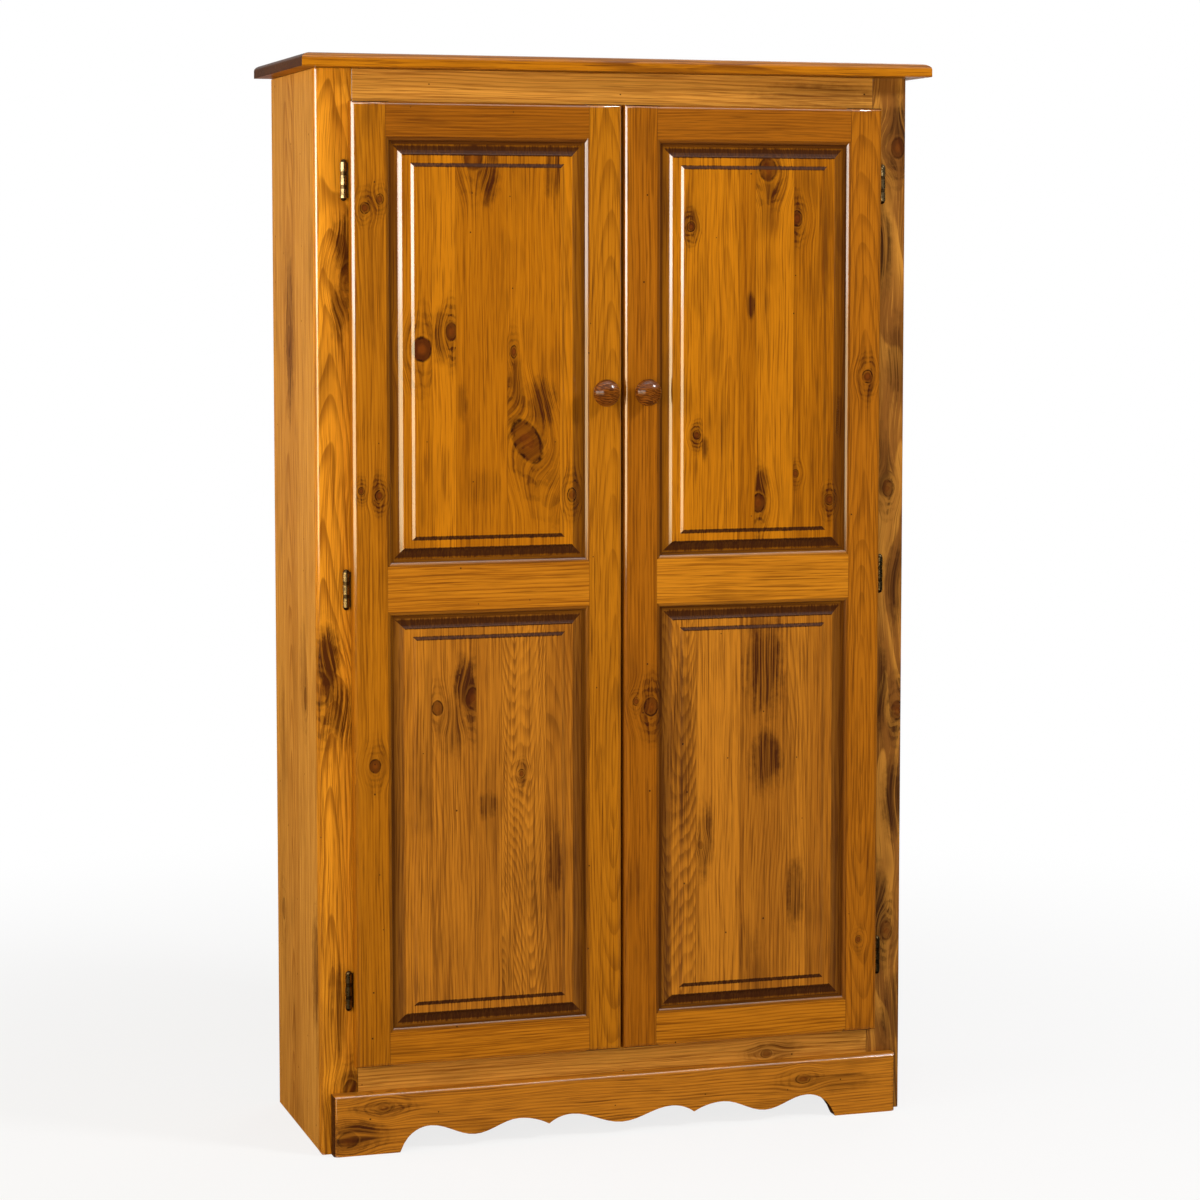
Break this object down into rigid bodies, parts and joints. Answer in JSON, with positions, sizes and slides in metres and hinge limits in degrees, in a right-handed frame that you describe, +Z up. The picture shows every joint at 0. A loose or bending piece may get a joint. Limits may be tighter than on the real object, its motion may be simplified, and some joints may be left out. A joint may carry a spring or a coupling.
{
  "type": "jelly cupboard",
  "caption": "Tall, shallow knotty-pine cupboard with a pair of raised-panel doors on pin hinges, wooden knobs, fixed shelves, a moulded top board and a scalloped apron.",
  "frame": {"origin": "on the floor, at the centre of the outer box", "axes": "+Z up; the doors face -Y; +X to the right of someone facing the doors"},
  "size_m": [0.916, 0.3486, 1.524],
  "materials": {
    "case_pine": "honey-stained knotty pine, satin lacquer",
    "frame_pine": "honey-stained knotty pine, satin lacquer",
    "door_pine": "honey-stained knotty pine, satin lacquer",
    "panel_pine": "honey-stained glued pine strips, satin lacquer",
    "inside_pine": "thinly sealed pine",
    "knob_wood": "dark-stained turned wood, gloss lacquer",
    "hinge_brass": "antique brass plate",
    "screw_steel": "zinc-plated steel"
  },
  "bodies": {
    "carcass": {"top_board": "case_pine", "left_side": "case_pine", "right_side": "case_pine", "bottom_board": "inside_pine", "shelf_1": "inside_pine", "shelf_2": "inside_pine", "shelf_3": "inside_pine", "shelf_4": "inside_pine", "rear_top_rail": "inside_pine", "left_top_cleat": "inside_pine", "right_top_cleat": "inside_pine", "back_board_1": "inside_pine", "back_board_2": "inside_pine", "back_board_3": "inside_pine", "back_board_4": "inside_pine", "back_board_5": "inside_pine", "back_board_6": "inside_pine", "face_frame_left_stile": "frame_pine", "face_frame_right_stile": "frame_pine", "face_frame_top_rail": "frame_pine", "face_frame_bottom_rail": "frame_pine", "apron": "frame_pine", "left_top_hinge_frame_leaf": "hinge_brass", "left_top_hinge_pin": "hinge_brass", "left_middle_hinge_frame_leaf": "hinge_brass", "left_middle_hinge_pin": "hinge_brass", "left_bottom_hinge_frame_leaf": "hinge_brass", "left_bottom_hinge_pin": "hinge_brass", "right_top_hinge_frame_leaf": "hinge_brass", "right_top_hinge_pin": "hinge_brass", "right_middle_hinge_frame_leaf": "hinge_brass", "right_middle_hinge_pin": "hinge_brass", "right_bottom_hinge_frame_leaf": "hinge_brass", "right_bottom_hinge_pin": "hinge_brass"},
    "left_door": {"left_door_hinge_stile": "door_pine", "left_door_meeting_stile": "door_pine", "left_door_top_rail": "door_pine", "left_door_lock_rail": "door_pine", "left_door_bottom_rail": "door_pine", "left_door_upper_panel": "panel_pine", "left_door_lower_panel": "panel_pine", "left_knob": "knob_wood", "left_knob_screw": "screw_steel", "left_top_hinge_door_leaf": "hinge_brass", "left_middle_hinge_door_leaf": "hinge_brass", "left_bottom_hinge_door_leaf": "hinge_brass"},
    "right_door": {"right_door_hinge_stile": "door_pine", "right_door_meeting_stile": "door_pine", "right_door_top_rail": "door_pine", "right_door_lock_rail": "door_pine", "right_door_bottom_rail": "door_pine", "right_door_upper_panel": "panel_pine", "right_door_lower_panel": "panel_pine", "right_knob": "knob_wood", "right_knob_screw": "screw_steel", "right_top_hinge_door_leaf": "hinge_brass", "right_middle_hinge_door_leaf": "hinge_brass", "right_bottom_hinge_door_leaf": "hinge_brass"}
  },
  "joints": [
    {"name": "left_door_hinge", "type": "hinge", "parent": "carcass", "child": "left_door", "pos_m": [-0.395, -0.1257, 0.792], "axis": [0, 0, -1], "range_deg": [0, 120]},
    {"name": "right_door_hinge", "type": "hinge", "parent": "carcass", "child": "right_door", "pos_m": [0.395, -0.1257, 0.792], "axis": [0, 0, 1], "range_deg": [0, 120]}
  ]
}
